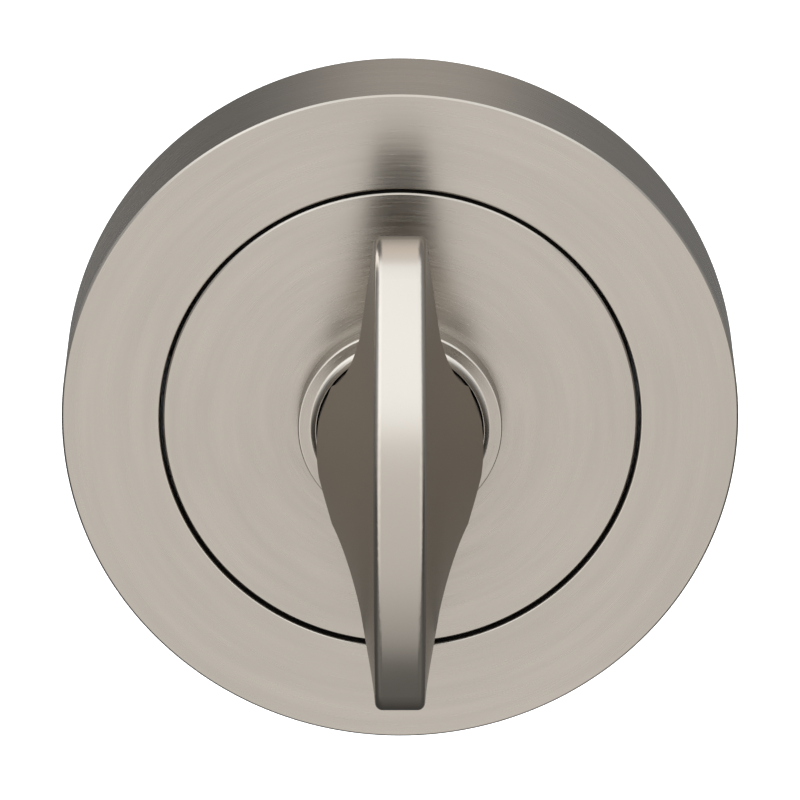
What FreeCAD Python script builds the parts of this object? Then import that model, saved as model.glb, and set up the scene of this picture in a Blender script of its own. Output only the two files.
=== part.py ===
import FreeCAD, Part
import math
import os

# Bathroom thumb turn on a round, two-part rose that covers its own fixings.
# The door face is the plane Y = 0 and the turn's axis is the Y axis. The front
# faces -Y and Z is up. A depth called forward is measured out of the door face,
# towards the user. All sizes are in millimetres.

# Rose: the outer cover ring
rose_diameter = 52.0
rose_depth = 10.0
rose_edge_bevel = 0.25
cover_wall = 1.2
cover_front_thickness = 1.6
cover_hole_bevel = 0.15

# Rose: the inset disc, its gap to the ring, and the tapped posts behind it
disc_share = 0.7
disc_gap = 0.3
disc_thickness = 2.4
disc_edge_bevel = 0.12
disc_post_diameter = 5.2
disc_post_length = 3.2
disc_post_count = 3
disc_post_edge = 3.2
disc_post_clearance = 0.1

# Collar round the neck of the turn
collar_wall = 1.4
collar_height = 2.07
collar_edge_bevel = 0.15
collar_lip_height = 0.73
collar_lip_wall = 0.26
collar_lip_top = 0.08
collar_lip_gap = 0.12
collar_spigot_wall = 0.88
collar_spigot_length = 2.0

# Mounting plate that the door carries
plate_clearance = 0.2
flange_thickness = 3.0
web_thickness = 1.0
web_back = 3.4
boss_margin = 1.1
recess_margin = 0.2
core_pocket_wall = 1.2
core_pocket_roof = 1.8
core_pocket_corner = 0.8
plate_edge_bevel = 0.3

# Open ring of square wire that the cover ring snaps over
snap_wire_width = 1.0
snap_forward = 1.7
snap_bite = 0.3
snap_opening = 4.0
snap_clearance = 0.05

# Nylon bush that the neck turns in
bush_wall = 1.6
bush_clearance = 0.05
seat_clearance = 0.03

# Neck of the turn and what keeps it in the plate
neck_share = 0.2425
neck_end_forward = 0.4
neck_end_bevel = 0.3
thrust_washer_thickness = 0.5
thrust_washer_width = 2.2
spring_washer_thickness = 0.3
spring_washer_bow = 0.55
spring_washer_width = 1.8
washer_clearance = 0.06
circlip_thickness = 1.0
circlip_groove_depth = 0.5
circlip_width = 1.6
circlip_lug_diameter = 2.6
circlip_lug_hole_diameter = 1.3
circlip_opening = 2.6
circlip_play = 0.02

# Blade: profile seen from the side, up from the axis and forward of the rose face
blade_length = 37.4
ridge_forward = 20.6
ridge_radius = 35.0
tip_radius = 4.0
tip_heel_angle = 22.0
root_flat_end = (2.2, 7.0)
root_end = (5.5, 8.4)
hollow_middle = (7.3, 11.0)
hollow_end = (11.0, 12.9)

# Blade: flat ridge, and flanks that lean most at the neck and stand steep at the tips
ridge_width = 3.7
ridge_edge_radius = 0.6
flank_neck_angle = 18.3
flank_tip_angle = 1.0
flank_fall_power = 1.6
flank_sections = 13
neck_top_forward = 11.5

# Square spindle and the grub screw that holds it
spindle_width = 5.0
spindle_corner_bevel = 0.35
spindle_length = 70.0
spindle_seat_forward = 10.2
broach_clearance = 0.05
broach_corner_relief = 0.2
grub_diameter = 3.0
grub_sink = 0.5
grub_forward = 6.2
grub_key_width = 1.5
grub_key_depth = 1.4

# Fixings
fixing_edge = 3.1
bolt_diameter = 4.0
bolt_length = 40.0
bolt_head_diameter = 6.0
bolt_head_height = 2.4
bolt_head_bevel = 0.4
bolt_hole_clearance = 0.2
bolt_tip_bevel = 0.5
bolt_plain_diameter = 3.0
bolt_plain_length = 4.0
wood_screw_diameter = 3.5
wood_screw_length = 16.0
wood_screw_head_diameter = 6.0
wood_screw_point_length = 4.0
wood_screw_plain_diameter = 2.6
wood_screw_plain_length = 4.0
wood_screw_hole_clearance = 0.15
wood_screw_angles = (30.0, 210.0)
disc_screw_diameter = 3.0
disc_screw_end_gap = 0.2
disc_screw_head_diameter = 5.4
disc_screw_head_height = 1.8
disc_screw_head_sink = 0.8
disc_screw_clearance = 0.1
drive_slot_width = 0.8
drive_slot_share = 0.6
drive_slot_depth = 1.2

# Places that follow from the sizes above
rose_radius = rose_diameter / 2
cover_inner_radius = rose_radius - cover_wall
disc_radius = disc_share * rose_radius
cover_hole_radius = disc_radius + disc_gap
disc_back = rose_depth - disc_thickness
neck_radius = neck_share * rose_radius
bush_bore_radius = neck_radius + bush_clearance
bush_outer_radius = bush_bore_radius + bush_wall
bush_back = web_back + web_thickness
lip_bore_radius = neck_radius + collar_lip_gap
spigot_radius = lip_bore_radius + collar_spigot_wall
plate_radius = cover_inner_radius - plate_clearance
boss_radius = disc_radius - boss_margin
post_circle_radius = boss_radius - disc_post_edge
recess_radius = post_circle_radius - disc_screw_head_diameter / 2 - recess_margin
thrust_washer_radius = bush_bore_radius + thrust_washer_width
spring_washer_radius = bush_bore_radius + spring_washer_width
snap_outer_radius = cover_inner_radius + snap_bite
snap_inner_radius = snap_outer_radius - snap_wire_width
snap_back = snap_forward - snap_wire_width / 2
snap_front = snap_forward + snap_wire_width / 2
fixing_radius = plate_radius - fixing_edge
tapped_front = disc_back + disc_thickness / 2
post_angles = [90.0 + 360.0 / disc_post_count * index for index in range(disc_post_count)]
spring_washer_back = (web_back - thrust_washer_thickness - spring_washer_thickness
                      - spring_washer_bow - washer_clearance)
circlip_front = spring_washer_back
circlip_back = circlip_front - circlip_thickness
groove_radius = neck_radius - circlip_groove_depth
long_enough = 4 * rose_depth


# Shapes used by several pieces

def point(x, forward, height):
    return FreeCAD.Vector(x, -forward, height)


def turned(profile):
    """Solid of revolution about the turn's axis from (radius, forward) corners."""
    corners = [point(radius, forward, 0) for radius, forward in profile]
    face = Part.Face(Part.makePolygon(corners + corners[:1]))
    return face.revolve(point(0, 0, 0), FreeCAD.Vector(0, 1, 0), 360)


def round_bar(radius, back, front, x=0.0, height=0.0):
    return Part.makeCylinder(radius, front - back, point(x, back, height), FreeCAD.Vector(0, -1, 0))


def cone_bar(back_radius, front_radius, back, front, x=0.0, height=0.0):
    return Part.makeCone(back_radius, front_radius, front - back,
                         point(x, back, height), FreeCAD.Vector(0, -1, 0))


def square_bar(width, back, front):
    corner = point(-width / 2, front, -width / 2)
    return Part.makeBox(width, front - back, width, corner)


def on_circle(radius, angle):
    return radius * math.cos(math.radians(angle)), radius * math.sin(math.radians(angle))


def cross_slot(head_diameter, depth_from, depth_to, x, height):
    """Two crossed blades that cut the drive recess of a screw head."""
    reach = head_diameter * drive_slot_share
    front = max(depth_from, depth_to)
    depth = abs(depth_to - depth_from)
    flat = Part.makeBox(reach, depth, drive_slot_width,
                        point(x - reach / 2, front, height - drive_slot_width / 2))
    upright = Part.makeBox(drive_slot_width, depth, reach,
                           point(x - drive_slot_width / 2, front, height - reach / 2))
    return flat.fuse(upright)


# Rose

def make_cover_ring():
    groove_radius_out = snap_outer_radius + snap_clearance
    groove_back = snap_back - snap_clearance
    groove_front = snap_front + snap_clearance
    return turned([
        (rose_radius, 0),
        (rose_radius, rose_depth - rose_edge_bevel),
        (rose_radius - rose_edge_bevel, rose_depth),
        (cover_hole_radius + cover_hole_bevel, rose_depth),
        (cover_hole_radius, rose_depth - cover_hole_bevel),
        (cover_hole_radius, rose_depth - cover_front_thickness),
        (cover_inner_radius, rose_depth - cover_front_thickness),
        (cover_inner_radius, groove_front),
        (groove_radius_out, groove_front),
        (groove_radius_out, groove_back),
        (cover_inner_radius, groove_back),
        (cover_inner_radius, 0),
    ])


def make_centre_disc():
    bore_radius = spigot_radius + seat_clearance
    disc = turned([
        (bore_radius, disc_back),
        (disc_radius, disc_back),
        (disc_radius, rose_depth - disc_edge_bevel),
        (disc_radius - disc_edge_bevel, rose_depth),
        (bore_radius, rose_depth),
    ])
    post_back = disc_back - disc_post_length
    tapped_radius = disc_screw_diameter / 2 + seat_clearance
    for angle in post_angles:
        x, height = on_circle(post_circle_radius, angle)
        disc = disc.fuse(round_bar(disc_post_diameter / 2, post_back, disc_back, x, height))
    for angle in post_angles:
        x, height = on_circle(post_circle_radius, angle)
        disc = disc.cut(round_bar(tapped_radius, post_back, tapped_front, x, height))
    return disc


def make_neck_collar():
    collar_radius = lip_bore_radius + collar_wall
    collar_front = rose_depth + collar_height
    lip_front = collar_front + collar_lip_height
    spigot_back = rose_depth - collar_spigot_length
    return turned([
        (lip_bore_radius, spigot_back),
        (spigot_radius, spigot_back),
        (spigot_radius, rose_depth),
        (collar_radius, rose_depth),
        (collar_radius, collar_front - collar_edge_bevel),
        (collar_radius - collar_edge_bevel, collar_front),
        (lip_bore_radius + collar_lip_wall, collar_front),
        (lip_bore_radius + collar_lip_top, lip_front),
        (lip_bore_radius, lip_front),
    ])


def make_neck_bush():
    return turned([
        (bush_bore_radius, bush_back),
        (bush_outer_radius, bush_back),
        (bush_outer_radius, disc_back),
        (bush_bore_radius, disc_back),
    ])


def make_cover_snap_ring():
    ring = turned([
        (snap_inner_radius, snap_back),
        (snap_outer_radius, snap_back),
        (snap_outer_radius, snap_front),
        (snap_inner_radius, snap_front),
    ])
    opening = Part.makeBox(snap_opening, snap_wire_width, rose_radius,
                           point(-snap_opening / 2, snap_front, -rose_radius))
    return ring.cut(opening)


# Mounting plate

def plate_body():
    groove_bottom = snap_inner_radius - snap_clearance
    groove_back = snap_back - snap_clearance
    groove_front = snap_front + snap_clearance
    bush_seat_radius = bush_outer_radius + seat_clearance
    web_bore_radius = neck_radius + collar_lip_gap
    return turned([
        (recess_radius, 0),
        (plate_radius - plate_edge_bevel, 0),
        (plate_radius, plate_edge_bevel),
        (plate_radius, groove_back),
        (groove_bottom, groove_back),
        (groove_bottom, groove_front),
        (plate_radius, groove_front),
        (plate_radius, flange_thickness - plate_edge_bevel),
        (plate_radius - plate_edge_bevel, flange_thickness),
        (boss_radius, flange_thickness),
        (boss_radius, disc_back),
        (bush_seat_radius, disc_back),
        (bush_seat_radius, bush_back),
        (web_bore_radius, bush_back),
        (web_bore_radius, web_back),
        (recess_radius, web_back),
    ])


def core_pocket(start_angle, end_angle):
    """Kidney-shaped pocket in the back of the boss, between two posts."""
    inner_radius = recess_radius + core_pocket_wall
    outer_radius = boss_radius - core_pocket_wall
    front = disc_back - core_pocket_roof
    ring = round_bar(outer_radius, 0, front).cut(round_bar(inner_radius, 0, front))
    reach = 2 * outer_radius
    apex = point(0, 0, 0)
    first = point(reach * math.cos(math.radians(start_angle)), 0,
                  reach * math.sin(math.radians(start_angle)))
    middle_angle = math.radians((start_angle + end_angle) / 2)
    middle = point(reach * math.cos(middle_angle), 0, reach * math.sin(middle_angle))
    last = point(reach * math.cos(math.radians(end_angle)), 0,
                 reach * math.sin(math.radians(end_angle)))
    wedge = Part.Face(Part.makePolygon([apex, first, middle, last, apex]))
    pocket = ring.common(wedge.extrude(FreeCAD.Vector(0, -front, 0)))
    corners = [edge for edge in pocket.Edges if is_along_axis(edge)]
    return pocket.makeFillet(core_pocket_corner, corners)


def is_along_axis(edge):
    start = edge.Vertexes[0].Point
    end = edge.Vertexes[-1].Point
    across = math.hypot(end.x - start.x, end.z - start.z)
    return across < 0.001 and abs(end.y - start.y) > 0.001


def make_mounting_plate():
    plate = plate_body()
    socket_radius = disc_post_diameter / 2 + disc_post_clearance
    socket_back = disc_back - disc_post_length - disc_post_clearance
    head_radius = disc_screw_head_diameter / 2 + disc_screw_clearance
    head_front = disc_screw_head_sink + disc_screw_head_height
    cuts = []
    for angle in post_angles:
        x, height = on_circle(post_circle_radius, angle)
        cuts.append(round_bar(socket_radius, socket_back, disc_back, x, height))
        cuts.append(round_bar(disc_screw_diameter / 2 + disc_screw_clearance, 0, disc_back, x, height))
        cuts.append(round_bar(head_radius, 0, head_front, x, height))
    for side in (-1, 1):
        hole_radius = bolt_diameter / 2 + bolt_hole_clearance
        cuts.append(round_bar(hole_radius, 0, flange_thickness, side * fixing_radius))
    screw_radius = wood_screw_diameter / 2 + wood_screw_hole_clearance
    sink_radius = wood_screw_head_diameter / 2 + seat_clearance
    for angle in wood_screw_angles:
        x, height = on_circle(fixing_radius, angle)
        cuts.append(round_bar(screw_radius, 0, flange_thickness, x, height))
        sink_back = flange_thickness - (sink_radius - screw_radius)
        cuts.append(cone_bar(screw_radius, sink_radius, sink_back, flange_thickness, x, height))
    post_half_angle = math.degrees(math.asin((head_radius + core_pocket_wall) / post_circle_radius))
    post_pitch = 360.0 / disc_post_count
    for angle in post_angles:
        cuts.append(core_pocket(angle + post_half_angle, angle + post_pitch - post_half_angle))
    for tool in cuts:
        plate = plate.cut(tool)
    return plate


# Thumb turn

def rose_point(height, above_rose, x=0.0):
    return point(x, rose_depth + above_rose, height)


def flank_angle(height):
    """Lean of the flanks, which falls from the neck towards the tips."""
    share = min(1.0, abs(height) / (blade_length / 2))
    return flank_neck_angle - (flank_neck_angle - flank_tip_angle) * share ** flank_fall_power


def flank_section(height):
    """Level section through both flanks, which widen from the ridge towards the rose."""
    crest = ridge_forward - ridge_radius + math.sqrt(ridge_radius ** 2 - height ** 2)
    slope = math.tan(math.radians(flank_angle(height)))
    front = ridge_forward + ridge_edge_radius
    back = -ridge_edge_radius
    front_half = ridge_width / 2 - (front - crest) * slope
    back_half = ridge_width / 2 + (crest - back) * slope
    corners = [
        rose_point(height, front, -front_half),
        rose_point(height, front, front_half),
        rose_point(height, back, back_half),
        rose_point(height, back, -back_half),
    ]
    return Part.makePolygon(corners + corners[:1])


def between_flanks():
    """Everything between the two flanks: one smooth, slightly twisted surface on each side."""
    reach = blade_length / 2 + tip_radius / 2
    step = 2 * reach / (flank_sections - 1)
    sections = [flank_section(-reach + step * index) for index in range(flank_sections)]
    return Part.makeLoft(sections, True)


def tip_centre():
    """Height and forward place of the round tip, so that it runs on from the ridge arc."""
    height = blade_length / 2 - tip_radius
    ridge_centre = ridge_forward - ridge_radius
    forward = ridge_centre + math.sqrt((ridge_radius - tip_radius) ** 2 - height ** 2)
    return height, forward


def side_profile():
    """Blade seen from the side: ridge arc, round tips, and the hollow backs of the wings."""
    tip_height, tip_forward = tip_centre()
    ridge_centre = ridge_forward - ridge_radius
    heel = math.radians(tip_heel_angle)
    heel_height = tip_height + tip_radius * math.cos(heel)
    heel_forward = tip_forward - tip_radius * math.sin(heel)
    spread = ridge_radius / (ridge_radius - tip_radius)
    join_height = tip_height * spread
    join_forward = ridge_centre + (tip_forward - ridge_centre) * spread
    edges = [Part.Arc(rose_point(-join_height, join_forward), rose_point(0, ridge_forward),
                      rose_point(join_height, join_forward)).toShape()]
    for up in (1, -1):
        join = rose_point(up * join_height, join_forward)
        tip = rose_point(up * blade_length / 2, tip_forward)
        heel_point = rose_point(up * heel_height, heel_forward)
        flat_end = rose_point(up * hollow_end[0], hollow_end[1])
        middle = rose_point(up * hollow_middle[0], hollow_middle[1])
        root = rose_point(up * root_end[0], root_end[1])
        root_flat = rose_point(up * root_flat_end[0], root_flat_end[1])
        edges.append(Part.Arc(join, tip, heel_point).toShape())
        edges.append(Part.LineSegment(heel_point, flat_end).toShape())
        edges.append(Part.Arc(flat_end, middle, root).toShape())
        edges.append(Part.LineSegment(root, root_flat).toShape())
    edges.append(Part.LineSegment(rose_point(-root_flat_end[0], root_flat_end[1]),
                                  rose_point(root_flat_end[0], root_flat_end[1])).toShape())
    return Part.Face(Part.Wire(Part.__sortEdges__(edges)))


def ridge_edges(blade):
    """The long edges of the ridge and the round tips, which run along the blade."""
    found = {}
    for face in blade.Faces:
        round_about_x = isinstance(face.Surface, Part.Cylinder) and abs(face.Surface.Axis.x) > 0.99
        if not round_about_x or face.BoundBox.YMin > -rose_depth - hollow_end[1]:
            continue
        for edge in face.Edges:
            if edge.BoundBox.XLength < ridge_width / 2:
                found[edge.hashCode()] = edge
    return list(found.values())


def make_blade():
    face = side_profile()
    reach = 2 * neck_radius
    face.translate(FreeCAD.Vector(-reach, 0, 0))
    flanks = between_flanks()
    blade = face.extrude(FreeCAD.Vector(2 * reach, 0, 0)).common(flanks)
    blade = blade.makeFillet(ridge_edge_radius, ridge_edges(blade))
    neck_top = round_bar(neck_radius, rose_depth, rose_depth + neck_top_forward).common(flanks)
    return blade.fuse(neck_top)


def make_thumb_turn():
    neck = turned([
        (0, neck_end_forward),
        (neck_radius - neck_end_bevel, neck_end_forward),
        (neck_radius, neck_end_forward + neck_end_bevel),
        (neck_radius, circlip_back - circlip_play),
        (groove_radius, circlip_back - circlip_play),
        (groove_radius, circlip_front + circlip_play),
        (neck_radius, circlip_front + circlip_play),
        (neck_radius, rose_depth + collar_height),
        (0, rose_depth + collar_height),
    ])
    turn = make_blade().fuse(neck).removeSplitter()
    broach = square_bar(spindle_width + 2 * broach_clearance, neck_end_forward,
                        spindle_seat_forward + broach_corner_relief)
    grub_hole = Part.makeCylinder(grub_diameter / 2 + seat_clearance, neck_radius,
                                  point(0, grub_forward, 0), FreeCAD.Vector(0, 0, 1))
    return turn.cut(broach).cut(grub_hole)


# What goes on the neck and in it

def make_spindle():
    bar = square_bar(spindle_width, spindle_seat_forward - spindle_length, spindle_seat_forward)
    return bar.makeChamfer(spindle_corner_bevel, bar.Edges)


def make_spindle_grub_screw():
    bottom = spindle_width / 2
    grub_length = neck_radius - bottom - grub_sink
    up = FreeCAD.Vector(0, 0, 1)
    screw = Part.makeCylinder(grub_diameter / 2, grub_length, point(0, grub_forward, bottom), up)
    key_radius = grub_key_width / 2 / math.cos(math.radians(30))
    key_corners = []
    for index in range(6):
        x, across = on_circle(key_radius, 60.0 * index)
        key_corners.append(point(x, grub_forward + across, bottom + grub_length))
    key = Part.Face(Part.makePolygon(key_corners + key_corners[:1]))
    return screw.cut(key.extrude(FreeCAD.Vector(0, 0, -grub_key_depth)))


def make_thrust_washer():
    washer = round_bar(thrust_washer_radius, web_back - thrust_washer_thickness, web_back)
    return washer.cut(round_bar(bush_bore_radius, 0, rose_depth))


def make_spring_washer():
    """Bowed washer: a ring cut from a thin arched strip."""
    half_width = spring_washer_radius
    bow_radius = (half_width ** 2 + spring_washer_bow ** 2) / (2 * spring_washer_bow)
    crest = spring_washer_back
    centre = crest + bow_radius
    strip = Part.makeCylinder(bow_radius, 2 * half_width,
                              point(0, centre, -half_width), FreeCAD.Vector(0, 0, 1))
    hollow = Part.makeCylinder(bow_radius - spring_washer_thickness, 2 * half_width,
                               point(0, centre, -half_width), FreeCAD.Vector(0, 0, 1))
    ring = round_bar(half_width, 0, rose_depth).cut(round_bar(bush_bore_radius, 0, rose_depth))
    return ring.common(strip.cut(hollow))


def make_circlip():
    outer_radius = groove_radius + circlip_width
    lug_radius = circlip_lug_diameter / 2
    ring = round_bar(outer_radius, circlip_back, circlip_front)
    lug_angle = math.degrees(math.asin((circlip_opening / 2 + lug_radius) / outer_radius))
    lugs = []
    for side in (-1, 1):
        x, height = on_circle(outer_radius, 90.0 + side * lug_angle)
        lugs.append((x, height))
        ring = ring.fuse(round_bar(lug_radius, circlip_back, circlip_front, x, height))
    bore = round_bar(groove_radius + circlip_play, circlip_back, circlip_front)
    opening = Part.makeBox(circlip_opening, circlip_thickness, long_enough,
                           point(-circlip_opening / 2, circlip_front, 0))
    ring = ring.cut(bore).cut(opening)
    for x, height in lugs:
        ring = ring.cut(round_bar(circlip_lug_hole_diameter / 2, circlip_back, circlip_front, x, height))
    return ring


# Fixings

def make_fixing_bolt(side):
    x = side * fixing_radius
    head_front = flange_thickness + bolt_head_height
    shank_end = flange_thickness - bolt_length
    head_radius = bolt_head_diameter / 2
    bevel_back = head_front - bolt_head_bevel
    bolt = round_bar(head_radius, flange_thickness, bevel_back, x)
    bolt = bolt.fuse(cone_bar(head_radius, head_radius - bolt_head_bevel, bevel_back, head_front, x))
    thread_front = flange_thickness - bolt_plain_length
    bolt = bolt.fuse(round_bar(bolt_plain_diameter / 2, thread_front, flange_thickness, x))
    bolt = bolt.fuse(round_bar(bolt_diameter / 2, shank_end + bolt_tip_bevel, thread_front, x))
    bolt = bolt.fuse(cone_bar(bolt_diameter / 2 - bolt_tip_bevel, bolt_diameter / 2,
                              shank_end, shank_end + bolt_tip_bevel, x))
    slot = cross_slot(bolt_head_diameter, head_front - drive_slot_depth, head_front, x, 0)
    return bolt.cut(slot)


def make_wood_screw(angle):
    x, height = on_circle(fixing_radius, angle)
    head_radius = wood_screw_head_diameter / 2
    shank_radius = wood_screw_diameter / 2
    plain_radius = wood_screw_plain_diameter / 2
    head_back = flange_thickness - (head_radius - plain_radius)
    tip = flange_thickness - wood_screw_length
    point_front = tip + wood_screw_point_length
    screw = cone_bar(plain_radius, head_radius, head_back, flange_thickness, x, height)
    thread_front = flange_thickness - wood_screw_plain_length
    screw = screw.fuse(round_bar(plain_radius, thread_front, head_back, x, height))
    screw = screw.fuse(round_bar(shank_radius, point_front, thread_front, x, height))
    screw = screw.fuse(cone_bar(0, shank_radius, tip, point_front, x, height))
    slot = cross_slot(wood_screw_head_diameter, flange_thickness - drive_slot_depth,
                      flange_thickness, x, height)
    return screw.cut(slot)


def make_disc_screw(angle):
    x, height = on_circle(post_circle_radius, angle)
    head_back = disc_screw_head_sink
    head_front = head_back + disc_screw_head_height
    screw = round_bar(disc_screw_head_diameter / 2, head_back, head_front, x, height)
    screw = screw.fuse(round_bar(disc_screw_diameter / 2, head_front,
                                 tapped_front - disc_screw_end_gap, x, height))
    slot = cross_slot(disc_screw_head_diameter, head_back, head_back + drive_slot_depth, x, height)
    return screw.cut(slot)


def all_pieces():
    pieces = {
        "cover_ring": make_cover_ring(),
        "centre_disc": make_centre_disc(),
        "neck_collar": make_neck_collar(),
        "neck_bush": make_neck_bush(),
        "mounting_plate": make_mounting_plate(),
        "cover_snap_ring": make_cover_snap_ring(),
        "thumb_turn": make_thumb_turn(),
        "spindle": make_spindle(),
        "spindle_grub_screw": make_spindle_grub_screw(),
        "thrust_washer": make_thrust_washer(),
        "spring_washer": make_spring_washer(),
        "circlip": make_circlip(),
        "fixing_bolt_left": make_fixing_bolt(-1),
        "fixing_bolt_right": make_fixing_bolt(1),
    }
    for number, angle in enumerate(wood_screw_angles, start=1):
        pieces[f"wood_screw_{number}"] = make_wood_screw(angle)
    for number, angle in enumerate(post_angles, start=1):
        pieces[f"disc_screw_{number}"] = make_disc_screw(angle)
    return pieces


os.makedirs("parts", exist_ok=True)
for name, shape in all_pieces().items():
    shape.exportStep(f"parts/{name}.step")
    print(name, shape.isValid(), len(shape.Solids), round(shape.Volume, 2))
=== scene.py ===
import math

import bmesh
import bpy
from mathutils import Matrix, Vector


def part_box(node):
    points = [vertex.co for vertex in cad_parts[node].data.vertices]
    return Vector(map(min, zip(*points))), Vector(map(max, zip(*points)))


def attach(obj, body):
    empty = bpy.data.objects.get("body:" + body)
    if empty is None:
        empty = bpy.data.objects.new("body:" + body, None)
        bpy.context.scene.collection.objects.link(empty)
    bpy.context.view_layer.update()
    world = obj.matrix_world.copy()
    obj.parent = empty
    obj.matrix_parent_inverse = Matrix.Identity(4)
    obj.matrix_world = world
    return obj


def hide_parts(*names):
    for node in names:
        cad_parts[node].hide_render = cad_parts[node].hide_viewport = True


# Bathroom thumb turn lock: finishes, finer pieces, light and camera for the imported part.
# Everything is in metres. The front faces -Y, the turn's axis is the Y axis and Z is up,
# so a depth called forward is measured out of the door face, towards -Y.

bl_info = {
    "name": "Bathroom thumb turn lock",
    "version": (1, 0, 0),
    "blender": (4, 2, 0),
    "location": "3D View > Sidebar > Thumb turn",
    "description": "Finishes the pieces of a thumb turn on a round rose and lights them",
    "category": "Object",
}

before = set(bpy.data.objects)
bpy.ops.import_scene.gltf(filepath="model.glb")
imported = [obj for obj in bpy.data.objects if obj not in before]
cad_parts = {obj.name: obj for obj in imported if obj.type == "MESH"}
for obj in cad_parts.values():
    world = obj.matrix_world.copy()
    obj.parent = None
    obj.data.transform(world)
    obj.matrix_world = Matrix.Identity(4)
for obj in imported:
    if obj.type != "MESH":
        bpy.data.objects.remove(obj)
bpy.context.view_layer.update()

mm = 0.001

# How near two points have to be to be welded, to count as on one circle, or as on a cut

weld = 0.001 * mm
same_circle = 0.01 * mm
on_the_cut = 0.0001 * mm

# Edges sharper than these, in degrees, stay sharp when a piece is shaded smooth

turned_edge_angle = 10
thread_edge_angle = 30

# A thread's section is one edge as long as the pitch, with this many cuts. The cuts nearer to
# its middle than the reach, as a share of the pitch, are drawn out to the crest.

bolt_tooth_cuts = 4
wood_tooth_cuts = 3
crest_reach = 0.15

# Width left at the very point of a wood screw, as a share of its full width

screw_tip_width = 0.02

# Grain of the finishes: its depth, and how many of its features fit in a metre

brush_depth = 0.0017 * mm
blast_depth = 0.0008 * mm
blast_scale = 6000
cast_depth = 0.02 * mm
cast_scale = 2600
moulded_depth = 0.004 * mm
moulded_scale = 400
drawn_depth = 0.002 * mm
drawn_scale = 5000

# How far the grain of drawn steel is squeezed along each axis

along_the_bar = (1, 0.03, 1)
along_the_screw = (1, 0.2, 1)
every_way = (1, 1, 1)

# How warm a light is: more red and less blue above nought, the other way below it

cool = -0.05
plain = 0
warm = 0.06

# Light by height in the world, which runs from -1 straight down to 1 straight up:
# (height, brightness, warmth)

front_lights = [
    (-1, 0.11, plain), (-0.91, 0.11, plain), (-0.85, 0.36, plain), (-0.76, 0.44, plain),
    (-0.64, 0.555, plain), (-0.05, 0.62, plain), (0.05, 1.08, cool), (0.4, 1.08, cool),
    (0.75, 1.0, cool), (0.92, 0.95, cool), (1, 0.7, plain)]
back_lights = [
    (-1, 0.09, plain), (-0.85, 0.08, plain), (-0.55, 0.08, plain), (-0.3, 0.13, plain),
    (0, 0.17, plain), (1, 0.17, plain)]
back_patch_lights = [
    (-0.02, 0, warm), (0.16, 0.13, warm), (0.34, 0.25, warm), (0.7, 0.33, warm), (1, 0.5, warm)]

sensor_width = 36


def outer_radius(node):
    """Radius of a turned CAD node, from its width."""
    low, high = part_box(node)
    return (high.x - low.x) / 2


def front_of(node):
    """How far forward of the door face a CAD node reaches."""
    return -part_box(node)[0].y


def back_of(node):
    return -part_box(node)[1].y


def axis_of(node):
    """Where the axis of a bolt or screw stands: x and z."""
    low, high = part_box(node)
    return (low.x + high.x) / 2, (low.z + high.z) / 2


# Sizes and finishes that a user may change

def length(name, description, default):
    return bpy.props.FloatProperty(name=name, description=description, default=default,
                                   min=0, unit="LENGTH", precision=5)


def share(name, description, default):
    return bpy.props.FloatProperty(name=name, description=description, default=default,
                                   min=0, max=1, subtype="FACTOR")


def amount(name, description, default):
    return bpy.props.FloatProperty(name=name, description=description, default=default, min=0)


def colour(name, description, default):
    return bpy.props.FloatVectorProperty(name=name, description=description, default=default,
                                         min=0, max=1, size=3, subtype="COLOR")


class RoseSizes(bpy.types.PropertyGroup):
    segments: bpy.props.IntProperty(
        name="Segments", description="Flats round each turned piece", default=288, min=64)
    ring_radius: length("Ring radius", "Outer radius of the cover ring", outer_radius("cover_ring"))
    ring_depth: length("Ring depth", "Depth of the cover ring", front_of("cover_ring"))
    ring_wall: length("Ring wall", "Thickness of the cover ring's side wall", 1.2 * mm)
    ring_front: length("Ring front", "Thickness of the cover ring's front", 1.6 * mm)
    ring_edge: length("Ring edge", "Width of the bevel on the ring's front edge", 0.14 * mm)
    hole_edge: length("Hole edge", "Width of the bevel on the edge of the ring's hole", 0.15 * mm)
    disc_radius: length("Disc radius", "Radius of the inset disc", outer_radius("centre_disc"))
    disc_thickness: length("Disc thickness", "Thickness of the inset disc", 2.4 * mm)
    disc_bore: length("Disc bore", "Radius of the hole that the collar sits in", 7.335 * mm)
    disc_edge: length("Disc edge", "Width of the bevel on the disc's front edge", 0.12 * mm)
    disc_gap: length("Disc gap", "Dark gap between disc and ring", 0.3 * mm)


class CollarSizes(bpy.types.PropertyGroup):
    radius: length("Radius", "Outer radius of the collar", outer_radius("neck_collar"))
    height: length("Height", "Height of the collar above the rose", 2.07 * mm)
    edge: length("Edge", "Width of the bevel on the collar's front edge", 0.15 * mm)
    bore: length("Bore", "Radius of the collar's bore", 6.425 * mm)
    lip_top: length("Lip top", "Thickness of the lip at its top", 0.06 * mm)
    cove: length("Cove", "Width of the hollow that leads up to the lip", 0.52 * mm)
    cove_steps: bpy.props.IntProperty(
        name="Cove steps", description="Flats in the section of the hollow", default=10, min=3)
    spigot_radius: length("Spigot radius", "Radius of the spigot in the disc", 7.305 * mm)


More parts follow.
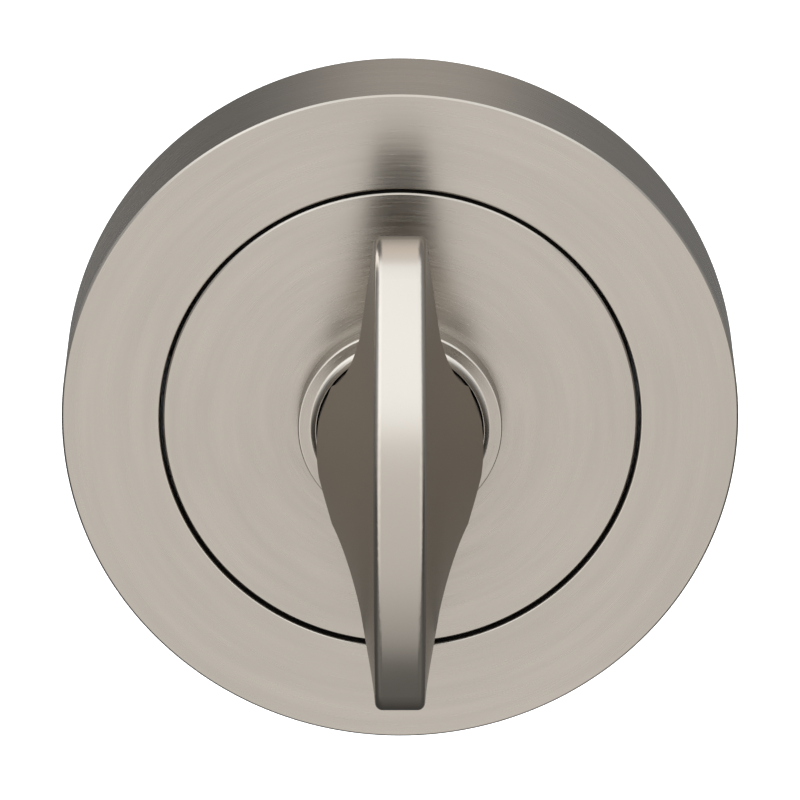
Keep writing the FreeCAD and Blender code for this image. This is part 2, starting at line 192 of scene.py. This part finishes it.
class ThreadSizes(bpy.types.PropertyGroup):
    start: bpy.props.FloatProperty(
        name="Start", description="Where the threads begin, forward of the door face",
        default=-0.95 * mm, unit="LENGTH", precision=5)
    bolt_radius: length("Bolt radius", "Outer radius of the M4 thread", 2 * mm)
    wood_radius: length("Wood screw radius", "Outer radius of the wood screws' thread", 1.75 * mm)
    bolt_pitch: length("Bolt pitch", "Pitch of the M4 fixing bolts", 0.7 * mm)
    bolt_depth: length("Bolt thread depth", "Depth of the M4 thread", 0.4 * mm)
    wood_pitch: length("Wood screw pitch", "Pitch of the wood screws", 1.6 * mm)
    wood_depth: length("Wood thread depth", "Depth of the wood screws' thread", 0.6 * mm)
    wood_point: length("Wood screw point", "Length of the wood screws' point", 4 * mm)
    steps: bpy.props.IntProperty(
        name="Steps", description="Flats in one turn of a thread", default=24, min=8)


class Finishes(bpy.types.PropertyGroup):
    nickel: colour("Nickel", "Colour of the satin nickel plate", (0.363, 0.33, 0.289))
    plate_roughness: share("Rose roughness", "Roughness of the brushed rose", 0.25)
    plate_grain: share("Rose grain", "How far the brush lines stretch a reflection", 0.55)
    turn_roughness: share("Turn roughness", "Roughness of the thumb turn", 0.22)
    rim_shade: share("Rim shade", "How light the rose is where it is seen edge on", 0.6)
    turn_rim_shade: share("Turn rim shade", "How light the turn is where it is seen edge on", 0.45)
    brush_line: length("Brush line", "Width of a brush line", 0.13 * mm)
    zinc: colour("Zinc", "Colour of the raw zinc casting", (0.4, 0.41, 0.42))
    nylon: colour("Nylon", "Colour of the nylon bush and washer", (0.6, 0.59, 0.54))
    spring_steel: colour("Spring steel", "Colour of the dark spring steel", (0.12, 0.12, 0.13))
    plated_steel: colour("Plated steel", "Colour of the zinc-plated steel", (0.42, 0.43, 0.45))
    screw_roughness: share("Screw roughness", "Roughness of the bolts and screws", 0.32)
    bar_roughness: share("Bar roughness", "Roughness of the spindle's drawn bar", 0.3)
    spring_roughness: share("Spring roughness", "Roughness of the spring steel", 0.38)


class StageSettings(bpy.types.PropertyGroup):
    camera_forward: length("Camera forward", "Camera's distance in front of the rose", 615 * mm)
    camera_height: length("Camera height", "Camera's height above the turn's axis", 207.9 * mm)
    frame_width: length("Frame width", "Width of the view at the rose", 61.4 * mm)
    aim_height: length("Aim height", "Height on the rose that the view is centred on", 1.6 * mm)
    floor_drop: length("Floor drop", "Height of the axis above the floor", 160 * mm)
    floor_size: length("Floor size", "Width of the floor", 6.0)


class LightSettings(bpy.types.PropertyGroup):
    strength: amount("Strength", "Brightness of the light tent", 2.33)
    low_sides: amount("Low sides", "Extra light from the front's sides, below the horizon", 0.38)
    high_sides: amount("High sides", "Extra light from the front's sides, above the horizon", 0.06)
    far_sides: share("Far sides", "Brightness left at the front's far sides", 0.25)
    sinking: amount("Sinking", "How round the bright patch below the horizon is", 0.9)
    lean: share("Lean", "How much lighter the front is on the left than in the middle", 0.09)
    floor_glow: share("Floor glow", "Light that the floor adds for the camera", 0.7)


# Modelling

def deselect_all():
    for thing in bpy.context.selected_objects:
        thing.select_set(False)


def pick(piece):
    deselect_all()
    piece.select_set(True)
    bpy.context.view_layer.objects.active = piece


def named(piece, name):
    piece.name = name
    piece.data.name = name
    return piece


def turned_piece(name, profile, segments):
    """Draws a loop of edges out from corner to corner of a closed (radius, forward) profile."""
    radius, forward = profile[0]
    deselect_all()
    bpy.ops.mesh.primitive_circle_add(vertices=segments, radius=radius,
                                      location=(0, -forward, 0), rotation=(math.pi / 2, 0, 0))
    bpy.ops.object.transform_apply()
    piece = named(bpy.context.object, name)
    bpy.ops.object.mode_set(mode="EDIT")
    bpy.ops.mesh.select_all(action="SELECT")
    for next_radius, next_forward in profile[1:] + profile[:1]:
        bpy.ops.mesh.extrude_edges_move(
            TRANSFORM_OT_translate={"value": (0, forward - next_forward, 0)})
        scale = next_radius / radius
        bpy.ops.transform.resize(value=(scale, 1, scale), center_override=(0, -next_forward, 0))
        radius, forward = next_radius, next_forward
    bpy.ops.mesh.select_all(action="SELECT")
    bpy.ops.mesh.remove_doubles(threshold=weld)
    bpy.ops.mesh.normals_make_consistent(inside=False)
    bpy.ops.object.mode_set(mode="OBJECT")
    return piece


def bevel_ring(piece, radius, forward, width, segments=3):
    """Bevels the edges that lie on one circle about the turn's axis."""
    pick(piece)
    bpy.ops.object.mode_set(mode="EDIT")
    bpy.ops.mesh.select_mode(type="EDGE")
    bpy.ops.mesh.select_all(action="DESELECT")
    mesh = bmesh.from_edit_mesh(piece.data)
    for edge in mesh.edges:
        edge.select_set(all(
            abs(math.hypot(vertex.co.x, vertex.co.z) - radius) < same_circle
            and abs(vertex.co.y + forward) < same_circle for vertex in edge.verts))
    bmesh.update_edit_mesh(piece.data)
    bpy.ops.mesh.bevel(offset=width, segments=segments, affect="EDGES")
    bpy.ops.object.mode_set(mode="OBJECT")


def smooth(piece, angle):
    pick(piece)
    bpy.ops.object.shade_smooth_by_angle(angle=math.radians(angle))


def copy_of(node, name):
    """A copy of a CAD node with its loose triangles joined up."""
    deselect_all()
    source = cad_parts[node]
    source.select_set(True)
    bpy.context.view_layer.objects.active = source
    bpy.ops.object.duplicate()
    piece = named(bpy.context.object, name)
    piece.parent = None
    for key in list(piece.keys()):
        del piece[key]
    bpy.ops.object.mode_set(mode="EDIT")
    bpy.ops.mesh.select_all(action="SELECT")
    bpy.ops.mesh.customdata_custom_splitnormals_clear()
    bpy.ops.mesh.remove_doubles(threshold=weld)
    bpy.ops.object.mode_set(mode="OBJECT")
    return piece


def finish_piece(piece, node, body, material):
    """Gives a piece its finish and lets it stand for a CAD node."""
    piece.data.materials.clear()
    piece.data.materials.append(material)
    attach(piece, body)
    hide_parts(node)


# Rose

def make_cover_ring(sizes):
    radius, depth = sizes.ring_radius, sizes.ring_depth
    inner = radius - sizes.ring_wall
    hole = sizes.disc_radius + sizes.disc_gap
    back_of_front = depth - sizes.ring_front
    ring = turned_piece("cover_ring_brushed", [
        (radius, 0), (radius, depth), (hole, depth), (hole, back_of_front),
        (inner, back_of_front), (inner, 0)], sizes.segments)
    bevel_ring(ring, radius, depth, sizes.ring_edge, 1)
    bevel_ring(ring, hole, depth, sizes.hole_edge)
    smooth(ring, turned_edge_angle)
    return ring


def make_centre_disc(sizes):
    front = sizes.ring_depth
    back = front - sizes.disc_thickness
    disc = turned_piece("centre_disc_brushed", [
        (sizes.disc_radius, back), (sizes.disc_radius, front),
        (sizes.disc_bore, front), (sizes.disc_bore, back)], sizes.segments)
    bevel_ring(disc, sizes.disc_radius, front, sizes.disc_edge, 1)
    smooth(disc, turned_edge_angle)
    return disc


def make_neck_collar(rose, sizes):
    foot = rose.ring_depth
    back = back_of("neck_collar")
    top = foot + sizes.height
    lip = front_of("neck_collar")
    hollow = []
    for step in range(sizes.cove_steps + 1):
        turn = math.pi / 2 * step / sizes.cove_steps
        hollow.append((sizes.bore + sizes.lip_top + sizes.cove * (1 - math.sin(turn)),
                       top + (lip - top) * (1 - math.cos(turn))))
    collar = turned_piece("neck_collar_turned", [
        (sizes.bore, back), (sizes.spigot_radius, back), (sizes.spigot_radius, foot),
        (sizes.radius, foot), (sizes.radius, top)] + hollow + [(sizes.bore, lip)], rose.segments)
    bevel_ring(collar, sizes.radius, top, sizes.edge)
    smooth(collar, turned_edge_angle)
    return collar


# Materials

class NodeTable:
    """A material or world and the short way to add nodes to it.

    An input is given by its name, with _ for a space, or by its place, as i0 for the first.
    """

    def __init__(self, owner):
        owner.use_nodes = True
        self.tree = owner.node_tree
        self.tree.nodes.clear()

    def add(self, kind, settings=None, **inputs):
        node = self.tree.nodes.new("ShaderNode" + kind)
        for name, value in (settings or {}).items():
            setattr(node, name, value)
        for name, value in inputs.items():
            key = int(name[1:]) if name[0] == "i" and name[1:].isdigit() else name.replace("_", " ")
            self.set(node.inputs[key], value)
        return node

    def set(self, socket, value):
        if isinstance(value, bpy.types.NodeSocket):
            self.tree.links.new(value, socket)
        else:
            socket.default_value = value

    def math(self, operation, first, second=0.0, third=0.0):
        node = self.add("Math", {"operation": operation}, i0=first, i1=second, i2=third)
        return node.outputs["Value"]

    def sum(self, first, second):
        return self.add("VectorMath", {"operation": "ADD"}, i0=first, i1=second).outputs["Vector"]

    def scale(self, vector, size):
        node = self.add("VectorMath", {"operation": "SCALE"}, i0=vector)
        self.set(node.inputs["Scale"], size)
        return node.outputs["Vector"]

    def span(self, value, low, high, to_low, to_high, smooth=False):
        node = self.add("MapRange", {"interpolation_type": "SMOOTHSTEP" if smooth else "LINEAR"},
                        Value=value, From_Min=low, From_Max=high, To_Min=to_low, To_Max=to_high)
        return node.outputs["Result"]

    def about(self, middle, spread, noise):
        """A value that a noise moves up and down about the middle."""
        return self.span(noise, 0.3, 0.7, middle - spread, middle + spread)

    def noise(self, vector, scale, detail=2.0, roughness=0.5):
        node = self.add("TexNoise", Vector=vector, Scale=scale, Detail=detail, Roughness=roughness)
        return node.outputs["Factor"] if "Factor" in node.outputs else node.outputs["Fac"]


def new_material(name):
    material = bpy.data.materials.new(name)
    return material, NodeTable(material)


def close_material(table, shader):
    table.add("OutputMaterial", Surface=shader.outputs["BSDF"])


def round_the_axis(table, line_width, streak):
    """Coordinates that run fast across the brush lines and slowly along them."""
    place = table.add("TexCoord").outputs["Object"]
    flat = table.add("VectorMath", {"operation": "MULTIPLY"}, i0=place, i1=(1, 0, 1))
    radius = table.add("VectorMath", {"operation": "LENGTH"}, i0=flat.outputs["Vector"])
    way = table.add("VectorMath", {"operation": "NORMALIZE"}, i0=flat.outputs["Vector"])
    forward = table.add("SeparateXYZ", Vector=place).outputs["Y"]
    across = table.math("ADD", radius.outputs["Value"], forward)
    parts = table.add("SeparateXYZ", Vector=way.outputs["Vector"])
    return table.add("CombineXYZ",
                     X=table.math("MULTIPLY", parts.outputs["X"], streak),
                     Y=table.math("MULTIPLY", across, 1 / line_width),
                     Z=table.math("MULTIPLY", parts.outputs["Z"], streak)).outputs["Vector"]


def grey(level):
    return level, level, level, 1


def tinted(table, tint, spread, value):
    """The tint made a little lighter or darker by a pattern."""
    return table.scale(tint, table.about(1, spread, value))


def brushed_nickel(name, finishes):
    """Satin nickel brushed in circles about the turn's axis."""
    material, table = new_material(name)
    line = finishes.brush_line
    roughness = finishes.plate_roughness
    fine = table.noise(round_the_axis(table, line, streak=3.5), scale=1, detail=3)
    broad = table.noise(round_the_axis(table, 8 * line, streak=1.6), scale=1)
    bump = table.add("Bump", Strength=1.0, Distance=brush_depth, Height=fine)
    tangent = table.add("Tangent", {"direction_type": "RADIAL", "axis": "Y"})
    shader = table.add("BsdfPrincipled", Metallic=1.0, Anisotropic=finishes.plate_grain,
                       Anisotropic_Rotation=0.25, Tangent=tangent.outputs["Tangent"],
                       Specular_Tint=grey(finishes.rim_shade),
                       Base_Color=tinted(table, finishes.nickel, 0.035, broad),
                       Roughness=table.span(fine, 0.25, 0.75, roughness - 0.04, roughness + 0.04),
                       Normal=bump.outputs["Normal"])
    close_material(table, shader)
    return material


def satin_nickel(name, finishes):
    """Satin nickel on the casting: fine and even, with a faint grain."""
    material, table = new_material(name)
    place = table.add("TexCoord").outputs["Object"]
    fine = table.noise(place, blast_scale)
    cloud = table.noise(place, scale=120)
    bump = table.add("Bump", Strength=1.0, Distance=blast_depth, Height=fine)
    shader = table.add("BsdfPrincipled", Metallic=1.0, Specular_Tint=grey(finishes.turn_rim_shade),
                       Base_Color=tinted(table, finishes.nickel, 0.015, cloud),
                       Roughness=table.about(finishes.turn_roughness, 0.02, cloud),
                       Normal=bump.outputs["Normal"])
    close_material(table, shader)
    return material


def cast_zinc(finishes):
    """Raw die casting: cloudy grey with a sandy skin."""
    material, table = new_material("raw zinc casting")
    place = table.add("TexCoord").outputs["Object"]
    sand = table.noise(place, cast_scale, detail=4, roughness=0.6)
    cloud = table.noise(place, scale=180, detail=3)
    bump = table.add("Bump", Strength=1.0, Distance=cast_depth, Height=sand)
    shader = table.add("BsdfPrincipled", Metallic=0.85,
                       Base_Color=tinted(table, finishes.zinc, 0.12, cloud),
                       Roughness=table.about(0.55, 0.07, sand),
                       Normal=bump.outputs["Normal"])
    close_material(table, shader)
    return material


def white_nylon(finishes):
    """Natural nylon, a little mottled, with a soft shine."""
    material, table = new_material("natural nylon")
    place = table.add("TexCoord").outputs["Object"]
    mottle = table.noise(place, moulded_scale, detail=3)
    bump = table.add("Bump", Strength=1.0, Distance=moulded_depth, Height=mottle)
    shader = table.add("BsdfPrincipled", Base_Color=tinted(table, finishes.nylon, 0.04, mottle),
                       Roughness=table.about(0.41, 0.05, mottle),
                       Normal=bump.outputs["Normal"])
    close_material(table, shader)
    return material


def drawn_steel(name, tint, roughness, squeeze):
    """Steel with fine lines along the axis that is squeezed, as rolling or drawing leaves them."""
    material, table = new_material(name)
    place = table.add("TexCoord").outputs["Object"]
    along = table.add("VectorMath", {"operation": "MULTIPLY"}, i0=place, i1=squeeze)
    lines = table.noise(along.outputs["Vector"], drawn_scale, detail=3)
    cloud = table.noise(place, scale=300)
    bump = table.add("Bump", Strength=1.0, Distance=drawn_depth, Height=lines)
    shader = table.add("BsdfPrincipled", Metallic=1.0,
                       Base_Color=tinted(table, tint, 0.06, cloud),
                       Roughness=table.about(roughness, 0.05, lines),
                       Normal=bump.outputs["Normal"])
    close_material(table, shader)
    return material


def finish_node(node, material):
    """Puts a finish on a CAD node that keeps its own shape."""
    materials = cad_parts[node].data.materials
    materials.clear()
    materials.append(material)


# Fixings

def thread_tooth(name, root, depth, pitch, cuts):
    """One edge as long as the pitch, with the middle of its cuts drawn out to the crest."""
    deselect_all()
    bpy.ops.mesh.primitive_plane_add(size=pitch, location=(root + pitch / 2, 0, 0))
    bpy.ops.object.transform_apply()
    tooth = named(bpy.context.object, name)
    bpy.ops.object.mode_set(mode="EDIT")
    bpy.ops.mesh.select_mode(type="VERT")
    select_vertices(tooth, lambda place: place.x > root + pitch / 2)
    bpy.ops.mesh.delete(type="VERT")
    bpy.ops.mesh.select_all(action="SELECT")
    bpy.ops.mesh.subdivide(number_cuts=cuts)
    select_vertices(tooth, lambda place: abs(place.y) < crest_reach * pitch)
    bpy.ops.transform.translate(value=(depth, 0, 0))
    bpy.ops.object.mode_set(mode="OBJECT")
    return tooth


def select_vertices(piece, test):
    mesh = bmesh.from_edit_mesh(piece.data)
    bpy.ops.mesh.select_all(action="DESELECT")
    for vertex in mesh.verts:
        vertex.select_set(test(vertex.co))
    mesh.select_flush(True)
    bmesh.update_edit_mesh(piece.data)


def cut_square(piece, forward, keep_front):
    """Cuts a piece square across the Y axis and closes the cut."""
    pick(piece)
    bpy.ops.object.mode_set(mode="EDIT")
    bpy.ops.mesh.select_all(action="SELECT")
    bpy.ops.mesh.bisect(plane_co=(0, -forward, 0), plane_no=(0, 1, 0), use_fill=True,
                        clear_outer=keep_front, clear_inner=not keep_front, threshold=on_the_cut)
    bpy.ops.object.mode_set(mode="OBJECT")


def threaded_bar(name, radius, depth, pitch, cuts, back, front, steps):
    """A threaded bar along the Y axis: the tooth screwed up the bar and cut square at both ends."""
    bar = thread_tooth(name, radius - depth, depth, pitch, cuts)
    screw = bar.modifiers.new("Thread", "SCREW")
    screw.axis = "Y"
    screw.screw_offset = pitch
    screw.iterations = math.ceil((front - back) / pitch) + 2
    screw.steps = steps
    screw.render_steps = steps
    screw.use_merge_vertices = True
    screw.merge_threshold = weld
    pick(bar)
    bpy.ops.object.modifier_apply(modifier=screw.name)
    bpy.ops.object.mode_set(mode="EDIT")
    bpy.ops.mesh.select_all(action="SELECT")
    bpy.ops.mesh.remove_doubles(threshold=weld)
    bpy.ops.transform.translate(value=(0, -front - pitch, 0))
    bpy.ops.mesh.normals_make_consistent(inside=False)
    bpy.ops.object.mode_set(mode="OBJECT")
    cut_square(bar, front, keep_front=False)
    cut_square(bar, back, keep_front=True)
    return bar


def make_fixing_bolt(node, sizes):
    """The head and plain shank of the CAD bolt on a bar that has its thread."""
    head = copy_of(node, node + "_threaded")
    cut_square(head, sizes.start, keep_front=True)
    thread = threaded_bar(node + "_thread", sizes.bolt_radius, sizes.bolt_depth, sizes.bolt_pitch,
                          bolt_tooth_cuts, back_of(node), sizes.start, sizes.steps)
    return join_at(head, thread, *axis_of(node))


def make_wood_screw(node, sizes):
    """The head and plain shank of the CAD wood screw on a coarse thread that runs to its point."""
    head = copy_of(node, node + "_threaded")
    cut_square(head, sizes.start, keep_front=True)
    tip = back_of(node)
    thread = threaded_bar(node + "_thread", sizes.wood_radius, sizes.wood_depth, sizes.wood_pitch,
                          wood_tooth_cuts, tip, sizes.start, sizes.steps)
    for vertex in thread.data.vertices:
        narrowing = min(1, max(screw_tip_width, (-vertex.co.y - tip) / sizes.wood_point))
        vertex.co.x *= narrowing
        vertex.co.z *= narrowing
    return join_at(head, thread, *axis_of(node))


def join_at(head, thread, x, z):
    """Moves a thread to the axis of its head and joins the two."""
    pick(thread)
    bpy.ops.object.mode_set(mode="EDIT")
    bpy.ops.mesh.select_all(action="SELECT")
    bpy.ops.transform.translate(value=(x, 0, z))
    bpy.ops.object.mode_set(mode="OBJECT")
    head.select_set(True)
    bpy.context.view_layer.objects.active = head
    bpy.ops.object.join()
    smooth(head, thread_edge_angle)
    return head


# Stage

def make_floor(settings, glow):
    deselect_all()
    bpy.ops.mesh.primitive_plane_add(size=settings.floor_size, location=(0, 0, -settings.floor_drop))
    floor = named(bpy.context.object, "studio_floor")
    material, table = new_material("pale floor")
    camera_ray = table.add("LightPath").outputs["Is Camera Ray"]
    grain = table.noise(table.add("TexCoord").outputs["Object"], scale=40)
    shader = table.add("BsdfPrincipled", Roughness=0.8,
                       Base_Color=tinted(table, (0.8, 0.8, 0.8), 0.01, grain),
                       Emission_Color=(1, 1, 1, 1),
                       Emission_Strength=table.math("MULTIPLY", camera_ray, glow))
    close_material(table, shader)
    floor.data.materials.append(material)
    floor.visible_glossy = False


def light_by_height(table, height, lights):
    node = table.add("ValToRGB", Fac=table.span(height, -1, 1, 0, 1))
    elements = node.color_ramp.elements
    while len(elements) < len(lights):
        elements.new(0.5)
    for element, (stop, level, warmth) in zip(elements, lights):
        element.position = (stop + 1) / 2
        element.color = level * (1 + warmth), level, level * (1 - warmth), 1
    return node.outputs["Color"]


def front_light(table, settings, side, height):
    """Bright and cool above the horizon, dimmer in a round patch below it, and dark round that."""
    off_middle = table.math("ABSOLUTE", side)
    sinking = table.span(height, -0.3, 0.0, settings.sinking, 0.0, smooth=True)
    sunk = table.math("MULTIPLY", sinking, table.math("MULTIPLY", side, side))
    colour = light_by_height(table, table.math("SUBTRACT", height, sunk), front_lights)
    extra = table.span(height, -0.1, 0.1, settings.low_sides, settings.high_sides, smooth=True)
    to_the_side = table.span(off_middle, 0.2, 0.5, 0.0, 1.0, smooth=True)
    rise = table.math("MULTIPLY_ADD", to_the_side, extra, 1.0)
    fall = table.span(off_middle, 0.55, 0.95, 1.0, settings.far_sides, smooth=True)
    lean = table.span(side, -0.6, 0.6, 1 + settings.lean, 1 - settings.lean)
    across = table.math("MULTIPLY", table.math("MULTIPLY", rise, fall), lean)
    return table.scale(colour, across)


def back_light(table, side, height):
    """Dim behind the object, with a soft patch above the horizon and a strip far out on the left."""
    base = light_by_height(table, height, back_lights)
    patch = light_by_height(table, height, back_patch_lights)
    patch_middle = 0.03
    off_middle = table.math("ABSOLUTE", table.math("SUBTRACT", side, patch_middle))
    fall = table.span(off_middle, 0.05, 0.36, 1.0, 0.0, smooth=True)
    both = table.sum(base, table.scale(patch, fall))
    leaned = table.scale(both, table.span(side, -0.3, 0.3, 0.84, 1.12))
    strip = table.math("MULTIPLY", table.span(side, -0.64, -0.72, 0.0, 1.0, smooth=True),
                       table.span(side, -0.92, -0.84, 0.0, 1.0, smooth=True))
    above = table.span(height, -0.2, 0.0, 0.0, 1.0, smooth=True)
    return table.sum(leaned, table.math("MULTIPLY", strip, above))


def make_world(settings):
    """White for the camera, and for all else a light tent that is bright in front and dim behind."""
    world = bpy.data.worlds.new("light tent")
    bpy.context.scene.world = world
    table = NodeTable(world)
    direction = table.add("SeparateXYZ", Vector=table.add("TexCoord").outputs["Generated"])
    side, depth, height = (direction.outputs[name] for name in "XYZ")
    turned_back = table.span(depth, -0.3, 0.3, 0.0, 1.0, smooth=True)
    front = front_light(table, settings, side, height)
    back = back_light(table, side, height)
    difference = table.add("VectorMath", {"operation": "SUBTRACT"}, i0=back, i1=front)
    both = table.sum(front, table.scale(difference.outputs["Vector"], turned_back))
    tent = table.add("Background", Color=both, Strength=settings.strength)
    white = table.add("Background", Color=(1, 1, 1, 1), Strength=1.0)
    camera_ray = table.add("LightPath").outputs["Is Camera Ray"]
    mixed = table.add("MixShader", i0=camera_ray, i1=tent.outputs["Background"],
                      i2=white.outputs["Background"])
    table.add("OutputWorld", Surface=mixed.outputs["Shader"])


def make_camera(settings, depth):
    place = Vector((0, -depth - settings.camera_forward, settings.camera_height))
    target = Vector((0, -depth, settings.aim_height))
    bpy.ops.object.camera_add(location=place)
    camera = bpy.context.object
    camera.rotation_mode = "QUATERNION"
    camera.rotation_quaternion = (target - place).to_track_quat("-Z", "Y")
    camera.data.sensor_width = sensor_width
    camera.data.lens = sensor_width * (target - place).length / settings.frame_width
    camera.data.clip_start = 0.01
    camera.data.clip_end = 100
    bpy.context.scene.camera = camera


# Operators

class AddCoverRing(bpy.types.Operator):
    """Turns the cover ring of the rose and gives it its circular brushing"""
    bl_idname = "thumb_turn.add_cover_ring"
    bl_label = "Add cover ring"

    def execute(self, context):
        material = brushed_nickel("ring nickel", context.scene.thumb_turn_finishes)
        ring = make_cover_ring(context.scene.thumb_turn_rose)
        finish_piece(ring, "cover_ring", "rose", material)
        return {"FINISHED"}


class AddCentreDisc(bpy.types.Operator):
    """Turns the inset disc of the rose and gives it its circular brushing"""
    bl_idname = "thumb_turn.add_centre_disc"
    bl_label = "Add centre disc"

    def execute(self, context):
        material = brushed_nickel("disc nickel", context.scene.thumb_turn_finishes)
        disc = make_centre_disc(context.scene.thumb_turn_rose)
        finish_piece(disc, "centre_disc", "rose", material)
        return {"FINISHED"}


class AddNeckCollar(bpy.types.Operator):
    """Turns the raised collar with its thin lip"""
    bl_idname = "thumb_turn.add_neck_collar"
    bl_label = "Add neck collar"

    def execute(self, context):
        material = brushed_nickel("collar nickel", context.scene.thumb_turn_finishes)
        collar = make_neck_collar(context.scene.thumb_turn_rose, context.scene.thumb_turn_collar)
        finish_piece(collar, "neck_collar", "rose", material)
        return {"FINISHED"}


class FinishThumbTurn(bpy.types.Operator):
    """Gives the cast thumb turn, whose exact solid needs no other shape, its satin finish"""
    bl_idname = "thumb_turn.finish_thumb_turn"
    bl_label = "Finish thumb turn"

    def execute(self, context):
        finish_node("thumb_turn", satin_nickel("turn nickel", context.scene.thumb_turn_finishes))
        return {"FINISHED"}


class AddFixings(bpy.types.Operator):
    """Cuts the threads of the fixing bolts and wood screws"""
    bl_idname = "thumb_turn.add_fixings"
    bl_label = "Add fixings"

    def execute(self, context):
        finishes = context.scene.thumb_turn_finishes
        sizes = context.scene.thumb_turn_threads
        material = drawn_steel("plated screws", finishes.plated_steel,
                               finishes.screw_roughness, along_the_screw)
        for node in ("fixing_bolt_left", "fixing_bolt_right"):
            bolt = make_fixing_bolt(node, sizes)
            finish_piece(bolt, node, "rose", material)
        for node in ("wood_screw_1", "wood_screw_2"):
            screw = make_wood_screw(node, sizes)
            finish_piece(screw, node, "rose", material)
        return {"FINISHED"}


class FinishHiddenPieces(bpy.types.Operator):
    """Gives the pieces behind the rose their finishes"""
    bl_idname = "thumb_turn.finish_hidden_pieces"
    bl_label = "Finish hidden pieces"

    def execute(self, context):
        finishes = context.scene.thumb_turn_finishes
        finish_node("mounting_plate", cast_zinc(finishes))
        nylon = white_nylon(finishes)
        for node in ("neck_bush", "thrust_washer"):
            finish_node(node, nylon)
        spring = drawn_steel("dark spring steel", finishes.spring_steel,
                             finishes.spring_roughness, every_way)
        for node in ("cover_snap_ring", "spring_washer", "circlip"):
            finish_node(node, spring)
        bar = drawn_steel("drawn spindle bar", finishes.plated_steel,
                          finishes.bar_roughness, along_the_bar)
        finish_node("spindle", bar)
        small = drawn_steel("small screws", finishes.plated_steel,
                            finishes.screw_roughness, every_way)
        for node in ("spindle_grub_screw", "disc_screw_1", "disc_screw_2", "disc_screw_3"):
            finish_node(node, small)
        return {"FINISHED"}


class SetUpStage(bpy.types.Operator):
    """Adds the floor, the light tent and the camera"""
    bl_idname = "thumb_turn.set_up_stage"
    bl_label = "Set up stage"

    def execute(self, context):
        settings = context.scene.thumb_turn_stage
        light = context.scene.thumb_turn_light
        context.scene.view_settings.view_transform = "Standard"
        make_floor(settings, light.floor_glow)
        make_world(light)
        make_camera(settings, context.scene.thumb_turn_rose.ring_depth)
        return {"FINISHED"}


class ThumbTurnPanel(bpy.types.Panel):
    """Lists the sizes, the finishes and the steps that build the lock"""
    bl_idname = "VIEW3D_PT_thumb_turn"
    bl_label = "Bathroom thumb turn lock"
    bl_space_type = "VIEW_3D"
    bl_region_type = "UI"
    bl_category = "Thumb turn"

    def draw(self, context):
        for group in property_groups:
            box = self.layout.box()
            box.label(text=group.replace("thumb_turn_", "").capitalize())
            settings = getattr(context.scene, group)
            for name in settings.__annotations__:
                box.prop(settings, name)
        for operator in operators:
            self.layout.operator(operator.bl_idname)


property_groups = {
    "thumb_turn_rose": RoseSizes,
    "thumb_turn_collar": CollarSizes,
    "thumb_turn_threads": ThreadSizes,
    "thumb_turn_finishes": Finishes,
    "thumb_turn_stage": StageSettings,
    "thumb_turn_light": LightSettings,
}
operators = (AddCoverRing, AddCentreDisc, AddNeckCollar, FinishThumbTurn, AddFixings,
             FinishHiddenPieces, SetUpStage)


def register():
    for group in (*property_groups.values(), *operators, ThumbTurnPanel):
        bpy.utils.register_class(group)
    for name, group in property_groups.items():
        setattr(bpy.types.Scene, name, bpy.props.PointerProperty(type=group))


def unregister():
    for name in property_groups:
        delattr(bpy.types.Scene, name)
    for group in reversed((*property_groups.values(), *operators, ThumbTurnPanel)):
        bpy.utils.unregister_class(group)


def main():
    register()
    deselect_all()
    bpy.ops.thumb_turn.add_cover_ring()
    bpy.ops.thumb_turn.add_centre_disc()
    bpy.ops.thumb_turn.add_neck_collar()
    bpy.ops.thumb_turn.finish_thumb_turn()
    bpy.ops.thumb_turn.add_fixings()
    bpy.ops.thumb_turn.finish_hidden_pieces()
    bpy.ops.thumb_turn.set_up_stage()


if __name__ == "__main__":
    main()
